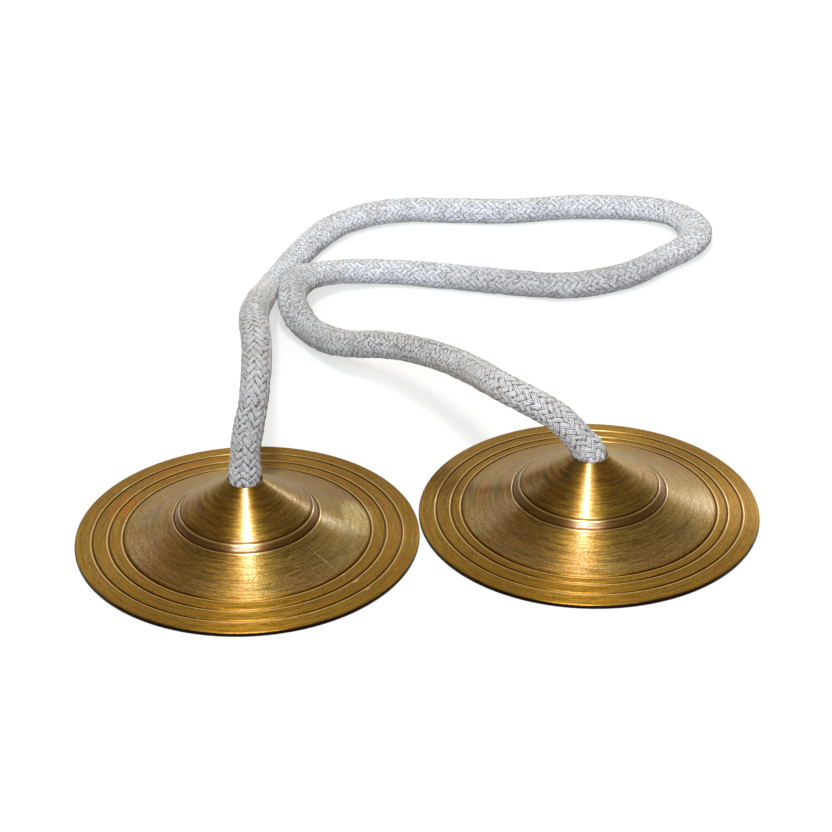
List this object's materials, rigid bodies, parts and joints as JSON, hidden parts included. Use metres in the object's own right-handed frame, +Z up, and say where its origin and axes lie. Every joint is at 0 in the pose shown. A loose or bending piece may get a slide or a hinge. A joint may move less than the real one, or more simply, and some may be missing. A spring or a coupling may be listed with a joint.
{
  "type": "manjira",
  "caption": "Pair of small turned brass hand cymbals with shallow bell crowns, tied on one braided cotton cord.",
  "frame": {"origin": "on the plane that the rims rest on, under the middle of the pair of cymbals", "axes": "+X from the left cymbal's centre to the right one's, +Y towards the cord's loop, +Z up"},
  "size_m": [0.1549, 0.1786, 0.0388],
  "materials": {
    "brass": "turned, with fine lathe lines and engraved rings",
    "braided_cotton": "braided cotton cord"
  },
  "bodies": {
    "cord": {"cord": "braided_cotton"},
    "left_end": {"left_knotted_end": "braided_cotton"},
    "right_end": {"right_knotted_end": "braided_cotton"},
    "left_cymbal": {"left_cymbal": "brass"},
    "right_cymbal": {"right_cymbal": "brass"}
  },
  "joints": [
    {"name": "left_tilt", "type": "hinge", "parent": "cord", "child": "left_end", "pos_m": [-0.03515, 0, 0.0163], "axis": [1, 0, 0], "range_deg": [-60, 35]},
    {"name": "left_spin", "type": "hinge", "parent": "left_end", "child": "left_cymbal", "pos_m": [-0.03515, 0, 0.0143], "axis": [0, 0, 1], "continuous": true},
    {"name": "right_tilt", "type": "hinge", "parent": "cord", "child": "right_end", "pos_m": [0.03515, 0, 0.0163], "axis": [1, 0, 0], "range_deg": [-60, 20]},
    {"name": "right_spin", "type": "hinge", "parent": "right_end", "child": "right_cymbal", "pos_m": [0.03515, 0, 0.0143], "axis": [0, 0, 1], "continuous": true}
  ]
}
